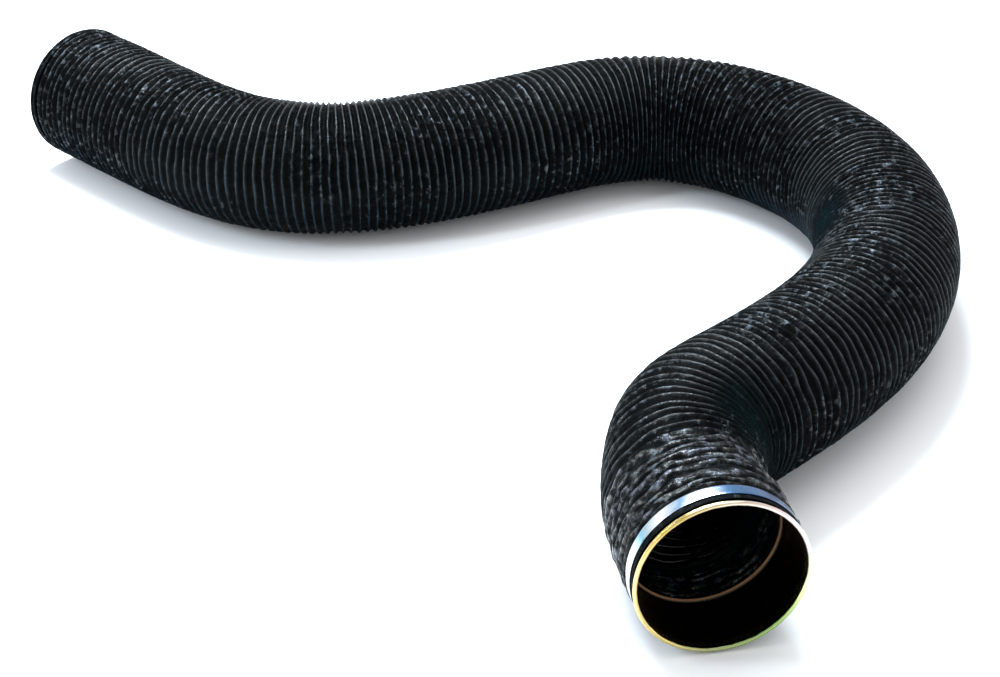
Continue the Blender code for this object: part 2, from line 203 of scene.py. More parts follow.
# Where one thing ends and the next begins, along the duct
HOSE_END = DUCT_LENGTH - CUFF_END
SECTION_LENGTH = HOSE_END / SECTION_COUNT
SKIN_END = DUCT_LENGTH - CUFF_START
RIBS_END = DUCT_LENGTH - CUFF_REACH

# Colours of the fabric, with painted light: shade in the valleys, lit grey and shaded teal copies of the
# ribs, painted highlights on crests and cuff folds, painted glints and a painted teal reflection
# painted shade: the near black laid in the valleys between the crests
VALLEY_SHADE_BLACK = (0.0007, 0.0009, 0.0010)
SHADED_LOW_RIB_SIDE = (0.0016, 0.0034, 0.0046)
SHADED_LOW_RIB_TEAL = (0.0070, 0.0190, 0.0270)
LIT_HIGH_RIB_SIDE = (0.0024, 0.0034, 0.0036)
LIT_HIGH_RIB_GREY = (0.0300, 0.0350, 0.0360)
CUFF_BLACK = (0.0012, 0.0018, 0.0020)
CUFF_VIOLET_HIGHLIGHT = (0.046, 0.046, 0.078)
CUFF_TEAL_HIGHLIGHT = (0.022, 0.046, 0.056)
CUFF_OLIVE_HIGHLIGHT = (0.058, 0.058, 0.036)
PACKED_TEAL_REFLECTION = (0.0030, 0.0090, 0.0110)
PAINTED_GLINT_BLUE = (0.070, 0.100, 0.135)

# Colours round the collar and band, at fixed places round the turn: for the collar partly the passivated
# film's own colours and partly painted reflections and highlights, for the band painted reflections and
# highlights
ZINC_FILM_AND_REFLECTIONS = (
    # share of a turn from the bottom, colour
    (0.0, (0.34, 0.36, 0.17)), (0.11, (0.26, 0.42, 0.13)), (0.20, (0.56, 0.64, 0.26)),
    (0.29, (0.80, 0.76, 0.70)), (0.40, (0.78, 0.62, 0.60)), (0.51, (0.66, 0.56, 0.38)),
    (0.60, (0.50, 0.36, 0.10)), (0.73, (0.86, 0.62, 0.27)), (0.89, (0.62, 0.50, 0.18)),
    (1.0, (0.34, 0.36, 0.17)),
)
# painted reflection: the band's bright white highlights and blue reflections, set by bearing
BAND_PAINTED_REFLECTIONS = (
    # share of a turn from the bottom, colour
    (0.0, (0.40, 0.46, 0.50)), (0.41, (0.06, 0.11, 0.22)), (0.49, (0.09, 0.20, 0.38)),
    (0.535, (0.82, 0.80, 0.84)), (0.575, (0.24, 0.38, 0.54)), (0.615, (0.90, 0.90, 0.93)),
    (0.665, (0.12, 0.27, 0.34)), (0.735, (0.92, 0.93, 0.95)), (0.82, (0.30, 0.40, 0.46)),
    (1.0, (0.40, 0.46, 0.50)),
)
EDGE_BROWN = (0.150, 0.078, 0.040)

# Studio
FLOOR_SIZE = 60.0
WORLD_STRENGTH = 1.35
SOFTBOXES = (
    # name, place, target, width, height, power, colour
    ("overhead_softbox", (0.0, 0.2, 3.2), (0.0, 0.0, 0.0), 3.6, 2.6, 60.0, (1.0, 1.0, 1.0)),
    ("ridge_strip", (-0.3, 0.9, 2.2), (0.0, 0.1, 0.1), 1.6, 0.30, 110.0, (0.74, 0.87, 1.0)),
    ("side_strip", (-1.8, -0.6, 1.5), (0.0, 0.1, 0.1), 0.2, 1.2, 24.0, (0.74, 0.87, 1.0)),
)
CAMERA_PLACE = (0.0425, -1.7956, 1.0542)
CAMERA_TILT = 59.56
CAMERA_LENS = 67.89


# ---------------------------------------------------------------- route

def ease(t):
    """Smooth step from 0 to 1 with no jump in slope or curvature."""
    t = np.clip(t, 0.0, 1.0)
    return t * t * t * (10.0 - 15.0 * t + 6.0 * t * t)


def heading(along):
    """Direction of travel on the floor, in radians, at a distance along the duct."""
    turned = math.radians(FAR_END_HEADING)
    for middle, length, turn in BENDS:
        turned = turned + math.radians(turn) * ease((along - middle + length / 2) / length)
    return turned


def trace_route():
    """Distances along the duct and the floor position at each."""
    count = round(DUCT_LENGTH / ROUTE_STEP)
    along = np.linspace(0.0, DUCT_LENGTH, count + 1)
    middles = (along[1:] + along[:-1]) / 2
    step = DUCT_LENGTH / count
    x = FAR_END_POINT[0] + np.concatenate([[0.0], np.cumsum(np.cos(heading(middles)) * step)])
    y = FAR_END_POINT[1] + np.concatenate([[0.0], np.cumsum(np.sin(heading(middles)) * step)])
    return along, x, y


ROUTE = trace_route()


def hose_radius(along):
    """Outer radius of the hose: a little wider towards its far end."""
    return DUCT_RADIUS + (FAR_END_RADIUS - DUCT_RADIUS) * (1.0 - ease(along / FAR_FLARE_LENGTH))


def duct_points(along, angle, radius):
    """World points at distances along the duct, angles round it and radii, as one array."""
    along, angle, radius = np.broadcast_arrays(along, angle, radius)
    turned = heading(along)
    sideways = radius * np.cos(angle)
    x = np.interp(along, ROUTE[0], ROUTE[1]) - np.sin(turned) * sideways
    y = np.interp(along, ROUTE[0], ROUTE[2]) + np.cos(turned) * sideways
    z = hose_radius(along) + radius * np.sin(angle)
    return np.stack([x, y, z], axis=-1)


def curvature(along):
    """Change of heading for each metre along the duct."""
    reach = ROUTE_STEP
    return (heading(along + reach) - heading(along - reach)) / (2 * reach)


def count_turns():
    """The number of turns of wire from the far end to each distance along the duct."""
    along = np.arange(-0.02, DUCT_LENGTH + 0.02, ROUTE_STEP)
    places, spacing = np.array(PITCHES).T
    turns = np.concatenate([[0.0], np.cumsum(ROUTE_STEP / np.interp(along[:-1], places, spacing))])
    return along, turns


TURNS = count_turns()


def turn_count(along):
    """Turns of wire from the far end to a distance along the duct."""
    return np.interp(along, TURNS[0], TURNS[1])


def turn_place(turns):
    """Distance along the duct at which a number of turns is reached."""
    return np.interp(turns, TURNS[1], TURNS[0])


def pitch(along):
    """Spacing of the turns at a distance along the duct."""
    return ROUTE_STEP / (turn_count(along + ROUTE_STEP / 2) - turn_count(along - ROUTE_STEP / 2))


# ---------------------------------------------------------------- noise

def noise_table(seed, around, rows=512):
    """Random values for noise(): so many round the duct, repeating after so many rows along it."""
    return np.random.default_rng(seed).uniform(-1.0, 1.0, (rows, around))


def noise(table, along, angle, cell):
    """Smooth noise from -1 to 1 that closes on itself round the duct. A cell is its grain along the duct."""
    rows, around = table.shape
    u = angle / (2 * math.pi) * around
    v = along / cell
    u0 = np.floor(u).astype(int)
    v0 = np.floor(v).astype(int)
    fu = u - u0
    fv = v - v0
    fu = fu * fu * (3 - 2 * fu)
    fv = fv * fv * (3 - 2 * fv)
    near = table[v0 % rows, u0 % around] * (1 - fu) + table[v0 % rows, (u0 + 1) % around] * fu
    v1 = (v0 + 1) % rows
    far = table[v1, u0 % around] * (1 - fu) + table[v1, (u0 + 1) % around] * fu
    return near * (1 - fv) + far * fv


PLEATS = noise_table(11, 72)
FINE_PLEATS = noise_table(12, 96)
CREST_WANDER = noise_table(13, 18)
PITCH_WANDER = noise_table(14, 10)
DEPTH_WANDER = noise_table(15, 24)
TURN_WANDER = noise_table(19, 22)
CUFF_FOLDS = noise_table(16, 22)
CUFF_CREASES = noise_table(17, 48)
CUFF_WANDER = noise_table(18, 12)
CUFF_PLEATS = noise_table(20, 34)
HEM_RIPPLE = noise_table(21, 60)
RIM_KNOCKS = noise_table(31, 120, 64)


# ---------------------------------------------------------------- mesh helpers

def make_object(name, vertices, faces, normals=None):
    """A smooth-shaded mesh object, with its own normals where they are given."""
    mesh = bpy.data.meshes.new(name)
    mesh.from_pydata(np.asarray(vertices).reshape(-1, 3).tolist(), [], faces)
    mesh.shade_smooth()
    if normals is not None:
        mesh.normals_split_custom_set_from_vertices(normals.reshape(-1, 3).tolist())
    obj = bpy.data.objects.new(name, mesh)
    bpy.context.scene.collection.objects.link(obj)
    return obj


def grid_quads(rows, columns, offset=0, inward=False):
    """Faces of a tube grid that closes round its columns."""
    r, c = np.meshgrid(np.arange(rows - 1), np.arange(columns), indexing="ij")
    following = (c + 1) % columns
    corners = [r * columns + c, r * columns + following,
               (r + 1) * columns + following, (r + 1) * columns + c]
    if inward:
        corners = [corners[0], corners[3], corners[2], corners[1]]
    return np.stack(corners, axis=-1).reshape(-1, 4) + offset


def cap_quads(outer, inner, columns, at_end):
    """The ring of faces that closes a wall between an outer and an inner row."""
    c = np.arange(columns)
    following = (c + 1) % columns
    if at_end:
        corners = [outer + c, outer + following, inner + following, inner + c]
    else:
        corners = [outer + following, outer + c, inner + c, inner + following]
    return np.stack(corners, axis=-1)


def grid_normals(points):
    """Outward unit normals of a tube grid, by central differences; both end rows are dropped."""
    round_way = np.roll(points, -1, axis=1) - np.roll(points, 1, axis=1)
    length_way = points[2:] - points[:-2]
    normals = np.cross(round_way[1:-1], length_way)
    return normals / np.linalg.norm(normals, axis=-1, keepdims=True)


def add_attribute(obj, name, values):
    """Store one number or one vector for each vertex, for the materials to read."""
    kind = "FLOAT_VECTOR" if values.ndim > 1 else "FLOAT"
    attribute = obj.data.attributes.new(name, kind, "POINT")
    key = "vector" if values.ndim > 1 else "value"
    attribute.data.foreach_set(key, values.astype(np.float32).ravel())


# ---------------------------------------------------------------- skin shape

def rib(turns):
    """0 on a crest and 1 on the floor of the valley between two crests."""
    wave = np.abs(np.sin(math.pi * turns))
    top = math.sqrt(1 + CREST_ROUNDING ** 2) - CREST_ROUNDING
    return (np.sqrt(wave ** 2 + CREST_ROUNDING ** 2) - CREST_ROUNDING) / top


def turns_at(along, angle):
    """Number of turns of the wire at a place on the skin; whole numbers are crests."""
    return turn_count(along) - angle / (2 * math.pi) + wander(along, angle)


def wander(along, angle):
    """How far the wire strays from an even pitch, in turns."""
    places, slackness = np.array(SLACKNESS).T
    slack = np.interp(along, places, slackness)
    lean = 0.10 * noise(PITCH_WANDER, along, angle, cell=0.031)
    return lean + (0.06 + 0.12 * slack) * noise(TURN_WANDER, along, angle, cell=0.0105)


def dents(along, angle):
    """How far the hose is pushed in where its last bend folds it against the collar's end."""
    depth = 0.0 * along * angle
    for middle, reach, deepest, facing in DENTS:
        side = np.clip(np.cos(angle - math.radians(facing)), 0, 1) ** 2
        depth = depth + deepest * side * np.exp(-((along - middle) / reach) ** 2)
    return depth


def crest_radius(along, angle):
    """Outer radius of the skin over the wire."""
    sag = CREST_SAG * (0.5 + 0.5 * noise(CREST_WANDER, along, angle, cell=0.017))
    return hose_radius(along) - sag - dents(along, angle)


def stretch(along, angle):
    """Length of the skin's side at a place, as a share of the middle's: under 1 inside a bend."""
    return 1 - curvature(along) * DUCT_RADIUS * np.cos(angle)


def fold_depth(along, angle):
    """How far the skin hangs in between two turns of wire: more as a bend packs them, until they touch."""
    straight = math.hypot(PITCH, 2 * FOLD_DEPTH)
    share = stretch(along, angle)
    slack = straight ** 2 - (pitch(along) * share) ** 2
    depth = 0.5 * np.sqrt(np.clip(slack, (2 * LEAST_FOLD_DEPTH) ** 2, (2 * MOST_FOLD_DEPTH) ** 2))
    open_share = 0.45 + 0.55 * ease((share - 0.35) / 0.40)
    return depth * open_share * (1 + 0.14 * noise(DEPTH_WANDER, along, angle, cell=0.013))


def ribbed_radius(along, angle):
    """Outer radius of the skin where it runs over the wire, and how near a crest it is."""
    valley = rib(turns_at(along, angle))
    pleat = PLEAT_HEIGHT * noise(PLEATS, along, angle, cell=PITCH)
    pleat = pleat + FINE_PLEAT_HEIGHT * noise(FINE_PLEATS, along, angle, cell=PITCH / 2)
    radius = crest_radius(along, angle) - fold_depth(along, angle) * valley + pleat * valley
    return radius, 1 - valley


def cuff_folds(along, angle):
    """Radius of the gathered cuff where nothing holds it, and how high each place is on its folds."""
    drift = 0.50 * noise(CUFF_FOLDS, along, angle, cell=0.014)
    drift = drift + 0.22 * noise(CUFF_WANDER, along, angle, cell=0.007)
    phase = (DUCT_LENGTH - along) / CUFF_FOLD_SPACING + angle / (2 * math.pi) + drift
    ridge = 1 - 2 * (1 - np.abs(np.sin(math.pi * phase))) ** CUFF_FOLD_POWER
    crease = noise(CUFF_CREASES, along, angle + along * CREASE_LEAN, cell=0.0036)
    cross = noise(CUFF_PLEATS, along, angle - along * PLEAT_LEAN, cell=0.0080)
    folded = CUFF_RADIUS + CUFF_FOLD_HEIGHT * ridge
    folded = folded + CUFF_CREASE_HEIGHT * crease * (0.6 + 0.4 * ridge) + CUFF_CREASE_HEIGHT * cross
    return folded, np.clip(0.50 + 0.45 * ridge + 0.30 * crease, 0, 1)


def cuff_radius(along, angle):
    """Outer radius of the cuff, from where the wire stops to the hose's edge, and its crest value."""
    from_rim = DUCT_LENGTH - along
    folded, crest = cuff_folds(along, angle)
    free = np.minimum(folded - dents(along, angle), DUCT_RADIUS)
    over_collar = from_rim < COLLAR_LENGTH + 0.004
    free = np.where(over_collar, np.maximum(free, COLLAR_RADIUS + CUFF_COVER), free)
    seat = BAND_SEAT_RADIUS - 0.0001
    past_band = ease((from_rim - BAND_MIDDLE - BAND_WIDTH / 2 - 0.0002) / CUFF_SWELL)
    frayed = ease((CUFF_START + FRAYED_LENGTH - from_rim) / 0.001)
    edge = 0.0002 * noise(CUFF_PLEATS, along, angle, cell=0.004) * frayed
    return seat + (free - seat) * past_band + edge, crest * (0.2 + 0.8 * past_band)


def closed_folds(along, angle):
    """1 where the inside of a tight bend is packed so hard that its folds have closed to a smooth face."""
    closed = 0.0 * along * angle
    for middle, reach, facing in CLOSED_FOLDS:
        inward = ease((np.cos(angle - math.radians(facing)) - 0.30) / 0.55)
        closed = np.maximum(closed, np.exp(-((along - middle) / reach) ** 2) * inward)
    return closed


def skin_radius(along, angle):
    """Outer radius of the skin and its crest value, anywhere along the hose."""
    ribbed, crest = ribbed_radius(along, angle)
    cuff, cuff_crest = cuff_radius(along, angle)
    to_cuff = ease((along - RIBS_END) / CUFF_RUN_IN)
    radius = ribbed + (cuff - ribbed) * to_cuff
    crest = crest + (cuff_crest - crest) * to_cuff
    from_hem = ease((along - HEM_LENGTH + HEM_LAP) / HEM_RUN_IN)
    hemmed = FAR_END_RADIUS - HEM_INSET
    radius = hemmed + (radius - hemmed) * from_hem
    packed = closed_folds(along, angle)
    return radius, crest * from_hem * (1 - 0.85 * packed), packed


def make_skin(number, first, last):
    """One closed length of the skin, between two distances along the duct."""
    rows = 2 * round((last - first) / PITCH * ROWS_PER_TURN / 2) + 1
    step = (last - first) / (rows - 1)
    along = first + step * np.arange(-1, rows + 1)[:, None]
    angle = (2 * math.pi * np.arange(COLUMNS) / COLUMNS)[None, :]
    radius, crest, packed = skin_radius(along, angle)
    outer = duct_points(along, angle, radius)
    inner = duct_points(along, angle, radius - SKIN_WALL)
    outer_normals = grid_normals(outer)
    inner_normals = -grid_normals(inner)[::2]
    outer, crest, packed = outer[1:-1], crest[1:-1], packed[1:-1]
    inner = inner[1:-1][::2]
    inner_rows = len(inner)
    split = rows * COLUMNS
    vertices = np.concatenate([outer.reshape(-1, 3), inner.reshape(-1, 3)])
    normals = np.concatenate([outer_normals.reshape(-1, 3), inner_normals.reshape(-1, 3)])
    faces = np.concatenate([
        grid_quads(rows, COLUMNS),
        grid_quads(inner_rows, COLUMNS, split, inward=True),
        cap_quads(0, split, COLUMNS, at_end=False),
        cap_quads(split - COLUMNS, len(vertices) - COLUMNS, COLUMNS, at_end=True),
    ])
    obj = make_object(f"ribbed_skin_{number:02d}", vertices, faces.tolist(), normals)
    add_attribute(obj, "crest", np.concatenate([crest.ravel(), crest[::2].ravel()]))
    add_attribute(obj, "rest", vertices)
    in_cuff = ease((along[1:-1] - RIBS_END) / CUFF_RUN_IN) + 0 * crest
    add_attribute(obj, "cuff", np.concatenate([in_cuff.ravel(), in_cuff[::2].ravel()]))
    add_attribute(obj, "packed", np.concatenate([packed.ravel(), packed[::2].ravel()]))
    lay_weave(obj, faces, rows, inner_rows, split, first, step)
    return obj, outer[0], outer[-1]


def lay_weave(obj, faces, rows, inner_rows, split, first, step):
    """A UV map in metres: round the duct, and along it."""
    inside = faces >= split
    local = np.where(inside, faces - split, faces)
    column = local % COLUMNS
    wraps = (column == 0) & (column.max(axis=1, keepdims=True) == COLUMNS - 1)
    column = np.where(wraps, COLUMNS, column)
    row = np.where(inside, 2 * (local // COLUMNS), local // COLUMNS)
    u = column / COLUMNS * 2 * math.pi * DUCT_RADIUS
    v = first + row * step
    layer = obj.data.uv_layers.new(name="weave")
    layer.data.foreach_set("uv", np.stack([u, v], axis=-1).astype(np.float32).ravel())


def make_coil(number, first, last):
    """The spring wire along one length of the skin: a round tube on a helix."""
    first_turn, last_turn = turn_count(first), turn_count(last)
    count = max(8, round((last_turn - first_turn) * COIL_POINTS_PER_TURN))
    turns = first_turn + (last_turn - first_turn) * np.arange(count + 1) / count
    along = turn_place(turns)
    angle = 2 * math.pi * turns
    reach = crest_radius(along, angle) - COIL_DEPTH
    shift = -wander(along, angle) * pitch(along)
    middle = duct_points(along + shift, angle, reach)
    outward = middle - duct_points(along + shift, angle, 0.0 * reach)
    outward /= np.linalg.norm(outward, axis=1, keepdims=True)
    forward = np.gradient(middle, axis=0)
    forward /= np.linalg.norm(forward, axis=1, keepdims=True)
    across = np.cross(forward, outward)
    spin = (2 * math.pi * np.arange(COIL_SIDES) / COIL_SIDES)[None, :, None]
    ring = np.cos(spin) * across[:, None, :] + np.sin(spin) * outward[:, None, :]
    vertices = middle[:, None, :] + COIL_RADIUS * ring
    faces = grid_quads(count + 1, COIL_SIDES, inward=True).tolist()
    faces.append(list(range(COIL_SIDES)))
    faces.append(list(range((count + 1) * COIL_SIDES - 1, count * COIL_SIDES - 1, -1)))
    obj = make_object(f"spring_coil_{number:02d}", vertices, faces)
    add_attribute(obj, "rest", vertices.reshape(-1, 3))
    return obj


# ---------------------------------------------------------------- materials

def node(tree, kind, inputs=None, **settings):
    """Add a shader node; each input is a value or another node's output."""
    made = tree.nodes.new(kind)
    for key, value in settings.items():
        setattr(made, key, value)
    for key, value in (inputs or {}).items():
        if isinstance(value, bpy.types.NodeSocket):
            tree.links.new(value, made.inputs[key])
        else:
            made.inputs[key].default_value = value
    return made


def start_material(name, **constants):
    """A new material's tree and its shader, with the constants set on the shader's sockets."""
    material = bpy.data.materials.new(name)
    material.use_nodes = True
    tree = material.node_tree
    shader = tree.nodes["Principled BSDF"]
    for key, value in constants.items():
        shader.inputs[key.replace("_", " ")].default_value = value
    return material, tree, shader


def maths(tree, operation, a, b=0.0, c=0.0, **settings):
    """Arithmetic on values or other nodes' outputs."""
    made = node(tree, "ShaderNodeMath", {0: a, 1: b, 2: c}, operation=operation, **settings)
    return made.outputs[0]


def times(tree, a, b):
    """The product of two values."""
    return maths(tree, "MULTIPLY", a, b)


def ramp(tree, factor, *stops):
    """A colour read from (position, colour) stops."""
    made = node(tree, "ShaderNodeValToRGB", {"Fac": factor})
    elements = made.color_ramp.elements
    while len(elements) < len(stops):
        elements.new(0.5)
    for element, (position, colour) in zip(elements, stops):
        element.position = position
        element.color = (*colour, 1.0)
    return made.outputs["Color"]


def mixed(tree, share, first, second):
    """A colour between two others, each of them a colour or another node's output."""
    first, second = ((*colour, 1.0) if isinstance(colour, tuple) else colour for colour in (first, second))
    return node(tree, "ShaderNodeMix", {0: share, 6: first, 7: second}, data_type="RGBA").outputs[2]


def mapped(tree, factor, low, high, from_low=0.0, from_high=1.0):
    """A value moved from one range to another, and held within it."""
    made = node(tree, "ShaderNodeMapRange", {"Value": factor, "From Min": from_low, "From Max": from_high,
                                             "To Min": low, "To Max": high})
    return made.outputs["Result"]


def noise_node(tree, vector, scale, detail=3.0, roughness=0.55):
    """Solid noise from 0 to 1."""
    made = node(tree, "ShaderNodeTexNoise", {"Vector": vector, "Scale": scale, "Detail": detail,
                                             "Roughness": roughness})
    return made.outputs["Fac"]


def bumped(tree, height, strength, distance, **inputs):
    """A normal bent by a height."""
    inputs.update(Height=height, Strength=strength, Distance=distance)
    return node(tree, "ShaderNodeBump", inputs).outputs["Normal"]


def attribute(tree, name, output):
    """A value stored on the mesh."""
    return node(tree, "ShaderNodeAttribute", attribute_name=name).outputs[output]


def bearing_share(tree, drift):
    """Where a point lies round the collar, as a share of a turn from the bottom, with some drift added."""
    parts = node(tree, "ShaderNodeSeparateXYZ", {"Vector": attribute(tree, "bearing", "Vector")})
    angle = maths(tree, "ARCTAN2", parts.outputs["Y"], parts.outputs["X"])
    return maths(tree, "FRACT", maths(tree, "MULTIPLY_ADD", angle, 1 / (2 * math.pi), drift))


def rib_colour(tree, rubbed_and_highlit, upper_lit_share):
    """The ribs, with painted light: a shaded teal-black copy low on the hose and a lit grey-black copy higher
    up, near black in the valleys as painted shade, and palest on the crests as painted highlight and worn
    coating.
    """
    shaded_low_ribs = ramp(tree, rubbed_and_highlit, (0.0, VALLEY_SHADE_BLACK), (0.25, SHADED_LOW_RIB_SIDE), (1.0, SHADED_LOW_RIB_TEAL))
    lit_high_ribs = ramp(tree, rubbed_and_highlit, (0.0, VALLEY_SHADE_BLACK), (0.25, LIT_HIGH_RIB_SIDE), (1.0, LIT_HIGH_RIB_GREY))
    return mixed(tree, upper_lit_share, shaded_low_ribs, lit_high_ribs)


def cuff_colour(tree, rest, crest, creases):
    """The gathered cuff: black between its folds, with violet, teal and olive highlights painted along them.
    """
    highlight_hue = noise_node(tree, rest, 45.0, 1.0, 0.5)
    streaks = mapped(tree, creases, 0.0, 1.0, 0.50, 0.66)
    # painted highlight: how much painted colour lies along each fold ridge
    folds = times(tree, maths(tree, "POWER", crest, 2.4), streaks)
    painted_fold_highlights = ramp(tree, highlight_hue, (0.42, CUFF_VIOLET_HIGHLIGHT), (0.52, CUFF_TEAL_HIGHLIGHT), (0.62, CUFF_OLIVE_HIGHLIGHT))
    return mixed(tree, folds, CUFF_BLACK, painted_fold_highlights)


def fabric_normal(tree, creases):
    """Fine threads crossing at right angles, and the creases of the coating."""
    weave = node(tree, "ShaderNodeUVMap", uv_map="weave").outputs["UV"]
    parts = node(tree, "ShaderNodeSeparateXYZ", {"Vector": weave})
    warp, weft = (times(tree, parts.outputs[axis], THREADS_PER_METRE * math.pi) for axis in "XY")
    cloth = times(tree, maths(tree, "SINE", warp), maths(tree, "SINE", weft))
    threads = bumped(tree, cloth, 0.25, 0.00006)
    return bumped(tree, creases, 0.9, 0.0026, Normal=threads)


def fabric_material():
    """Black coated fabric: a fine weave under a thin coat, paler and glossier on its crests. Its colour holds
    painted light: paler crests (partly worn coating, partly painted highlight), lit and shaded rib copies,
    painted glints, a painted teal reflection on packed bends, and painted highlights on the cuff's folds.
    """
    material, tree, shader = start_material(
        "coated_fabric_black", Specular_IOR_Level=0.02, Coat_Roughness=0.20, Coat_IOR=1.55,
        Sheen_Weight=0.0)
    rest = attribute(tree, "rest", "Vector")
    crest, cuff, packed = (attribute(tree, name, "Fac") for name in ("crest", "cuff", "packed"))
    height = node(tree, "ShaderNodeSeparateXYZ", {"Vector": rest}).outputs["Z"]
    # painted light: how high on the hose a point lies, mixing the shaded teal ribs below into the lit grey
    # ribs above
    upper_lit_share = mapped(tree, height, 0.0, 1.0, 0.055, 0.150)
    creases = noise_node(tree, rest, 130.0, 3.0, 0.6)
    patches = noise_node(tree, rest, 11.0, 2.0, 0.5)

    slack = mapped(tree, patches, 0.0, 1.0, 0.42, 0.56)
    broken = mapped(tree, creases, 0.14, 1.10, 0.42, 0.60)
    whole = mapped(tree, creases, 0.70, 1.10, 0.35, 0.65)
    # partly worn coating and partly painted highlight: the crests are painted paler, broken into short
    # lengths in slack patches
    wear_and_highlight = node(tree, "ShaderNodeMix", {0: slack, 2: whole, 3: broken}).outputs[0]
    rubbed_and_highlit = times(tree, maths(tree, "POWER", crest, 2.6), wear_and_highlight)
    sparkle = mapped(tree, creases, 0.0, 1.0, 0.58, 0.66)
    glints = times(tree, times(tree, sparkle, slack), maths(tree, "POWER", crest, 0.8))

    colour = mixed(tree, cuff, rib_colour(tree, rubbed_and_highlit, upper_lit_share), cuff_colour(tree, rest, crest, creases))
    # painted reflection: a teal cast painted over the inside of tightly packed bends
    colour = mixed(tree, times(tree, packed, 0.8), colour, PACKED_TEAL_REFLECTION)
    # painted highlight: small blue-white glints painted into the colour, only high on the hose
    painted_glints_on_top = times(tree, glints, mapped(tree, height, 0.0, 0.8, 0.115, 0.160))
    tree.links.new(mixed(tree, painted_glints_on_top, colour, PAINTED_GLINT_BLUE), shader.inputs["Base Color"])

    glossy = maths(tree, "MAXIMUM", times(tree, rubbed_and_highlit, mapped(tree, upper_lit_share, 0.15, 0.6)), glints)
    wet = times(tree, cuff, maths(tree, "POWER", crest, 1.6))
    glossy = maths(tree, "MAXIMUM", glossy, times(tree, wet, broken))
    tree.links.new(glossy, shader.inputs["Coat Weight"])
    tree.links.new(mapped(tree, patches, 0.45, 0.65, 0.3, 0.7), shader.inputs["Roughness"])
    normal = fabric_normal(tree, creases)
    tree.links.new(normal, shader.inputs["Normal"])
    tree.links.new(normal, shader.inputs["Coat Normal"])
    return material


def wire_material():
    """Dark spring steel with a little brown tarnish."""
    material, tree, shader = start_material("spring_steel_dark", Metallic=1.0)
    rest = attribute(tree, "rest", "Vector")
    tarnish = noise_node(tree, rest, 60.0)
    colour = ramp(tree, tarnish, (0.35, (0.075, 0.078, 0.082)), (0.60, (0.120, 0.112, 0.098)))
    tree.links.new(colour, shader.inputs["Base Color"])
    tree.links.new(mapped(tree, tarnish, 0.28, 0.46, 0.3, 0.7), shader.inputs["Roughness"])
    return material


def zinc_material():
    """Yellow passivated zinc: gold through pink to green round the rim, partly the film's own colours and
    partly painted reflections and highlights, and painted dark shade inside.
    """
    material, tree, shader = start_material("passivated_zinc_gold", Metallic=1.0)
    inside = attribute(tree, "inside", "Fac")
    place = node(tree, "ShaderNodeTexCoord").outputs["Object"]
    clouds = noise_node(tree, place, 38.0, 3.0, 0.6)
    share = bearing_share(tree, mapped(tree, clouds, -0.03, 0.03, 0.3, 0.7))
    # painted shade: the collar's inner wall is painted near black, more so deeper in
    painted_inner_shade = ramp(tree, clouds, (0.40, (0.020, 0.022, 0.016)), (0.60, (0.040, 0.030, 0.020)))
    lining = mixed(tree, inside, ramp(tree, share, *ZINC_FILM_AND_REFLECTIONS), painted_inner_shade)
    browned = maths(tree, "SUBTRACT", inside, 1.0, use_clamp=True)
    colour = mixed(tree, browned, lining, EDGE_BROWN)
    tree.links.new(colour, shader.inputs["Base Color"])
    rubs = noise_node(tree, place, 420.0, 2.0, 0.6)
    rough = maths(tree, "ADD", mapped(tree, rubs, 0.12, 0.26, 0.3, 0.7), times(tree, inside, 0.12))
    tree.links.new(rough, shader.inputs["Roughness"])
    tree.links.new(bumped(tree, clouds, 0.15, 0.0006), shader.inputs["Normal"])
    return material


def steel_material(name, banded):
    """Bright cold-rolled strip. On the band, painted reflections: bright white highlights and blue
    reflections at fixed places round the turn.
    """
    material, tree, shader = start_material(name, Metallic=1.0)
    place = node(tree, "ShaderNodeTexCoord").outputs["Object"]
    clouds = noise_node(tree, place, 30.0, 1.0, 0.5)
    marks = noise_node(tree, place, 260.0, 2.0, 0.5)
    if banded:
        # painted reflection: white highlights and blue reflections laid round the band by bearing
        share = bearing_share(tree, mapped(tree, clouds, -0.012, 0.012, 0.3, 0.7))
        colour = ramp(tree, share, *BAND_PAINTED_REFLECTIONS)
    else:
        colour = ramp(tree, clouds, (0.38, (0.34, 0.44, 0.54)), (0.60, (0.72, 0.76, 0.80)))
    tree.links.new(colour, shader.inputs["Base Color"])
    tree.links.new(mapped(tree, marks, 0.18, 0.28, 0.3, 0.7), shader.inputs["Roughness"])
    tree.links.new(bumped(tree, marks, 0.05, 0.0002), shader.inputs["Normal"])
    return material


def floor_material():
    """Pale matt studio floor."""
    material, tree, shader = start_material("studio_floor", Roughness=0.9)
    place = node(tree, "ShaderNodeTexCoord").outputs["Object"]
    tone = ramp(tree, noise_node(tree, place, 3.0), (0.4, (0.885, 0.885, 0.885)), (0.6, (0.90, 0.90, 0.90)))
    tree.links.new(tone, shader.inputs["Base Color"])
    shader.inputs["Specular IOR Level"].default_value = 0.1
    return material


FABRIC = fabric_material()
WIRE = wire_material()
ZINC = zinc_material()
BAND_STEEL = steel_material("band_steel_painted_reflections", True)
STEEL = steel_material("bright_strip_steel", False)


def finish_piece(obj, material):
    """Give a piece its material."""
    obj.data.materials.append(material)
    return obj


# ---------------------------------------------------------------- hose assembly

def body_name(section):
    """The frame's name for a section of the hose."""
    return f"section_{section:02d}"


def hang(obj, number):
    """Ride an end length on its section, or bake a middle length's placement into its mesh."""
    if number == 0:
        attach(obj, body_name(1))
    elif number == SECTION_COUNT:
        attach(obj, body_name(SECTION_COUNT))
    else:
        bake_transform(obj)


